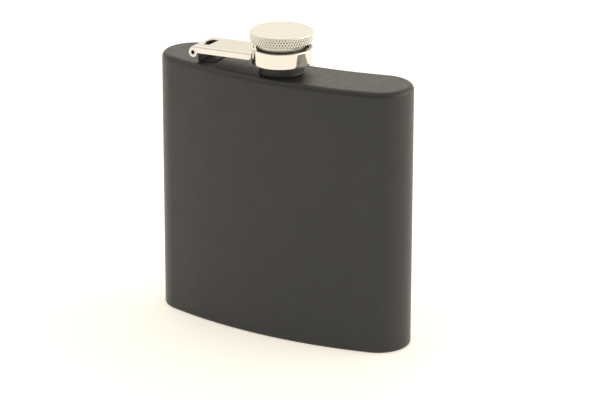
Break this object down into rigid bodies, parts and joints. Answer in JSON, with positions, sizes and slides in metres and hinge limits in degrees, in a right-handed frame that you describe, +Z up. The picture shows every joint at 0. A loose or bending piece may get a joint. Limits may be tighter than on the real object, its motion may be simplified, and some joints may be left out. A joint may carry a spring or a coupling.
{
  "type": "hip flask",
  "caption": "Curved hip flask with a black painted body and a knurled steel screw cap held captive by a hinged arm and collar.",
  "frame": {"origin": "middle of the bounding box's footprint, on the flat underside of the base", "axes": "+Z up from the base to the cap; -Y out of the convex front face; the hinge is on the -X side of the cap"},
  "size_m": [0.0956, 0.0275, 0.1066],
  "materials": {
    "black_paint": "matte black powder coat",
    "neck_paint": "matte black powder coat on the foot, bare steel on the thread",
    "bracket_paint": "matte black powder coat",
    "pin_steel": "satin",
    "polished_steel": "polished stainless steel",
    "collar_steel": "polished stainless steel",
    "knurled_steel": "satin turned top with a diamond knurl around the side",
    "skirt_steel": "polished stainless steel",
    "seal_silicone": "matte silicone"
  },
  "bodies": {
    "flask": {"body_wall": "black_paint", "base_plate": "black_paint", "shoulder_plate": "black_paint", "neck": "neck_paint", "hinge_bracket": "bracket_paint"},
    "pin": {"hinge_pin": "pin_steel"},
    "arm": {"retaining_arm": "polished_steel", "collar": "collar_steel"},
    "cap": {"cap_head": "knurled_steel", "cap_skirt": "skirt_steel", "cap_seal": "seal_silicone"}
  },
  "joints": [
    {"name": "arm_lift", "type": "hinge", "parent": "flask", "child": "pin", "pos_m": [-0.03005, -0.0024, 0.09563], "axis": [0, -1, 0], "range_deg": [0, 8.2]},
    {"name": "arm_swing", "type": "hinge", "parent": "pin", "child": "arm", "pos_m": [-0.03005, -0.0024, 0.09563], "axis": [0, -1, 0], "range_deg": [0, 168]},
    {"name": "cap_unscrew", "type": "hinge", "parent": "arm", "child": "cap", "pos_m": [0.0012, -0.0024, 0.1], "axis": [0, 0, 1], "range_deg": [0, 1080]}
  ],
  "couplings": [
    {"joint": "cap_unscrew", "follows": "arm_lift", "ratio": 131.5}
  ]
}
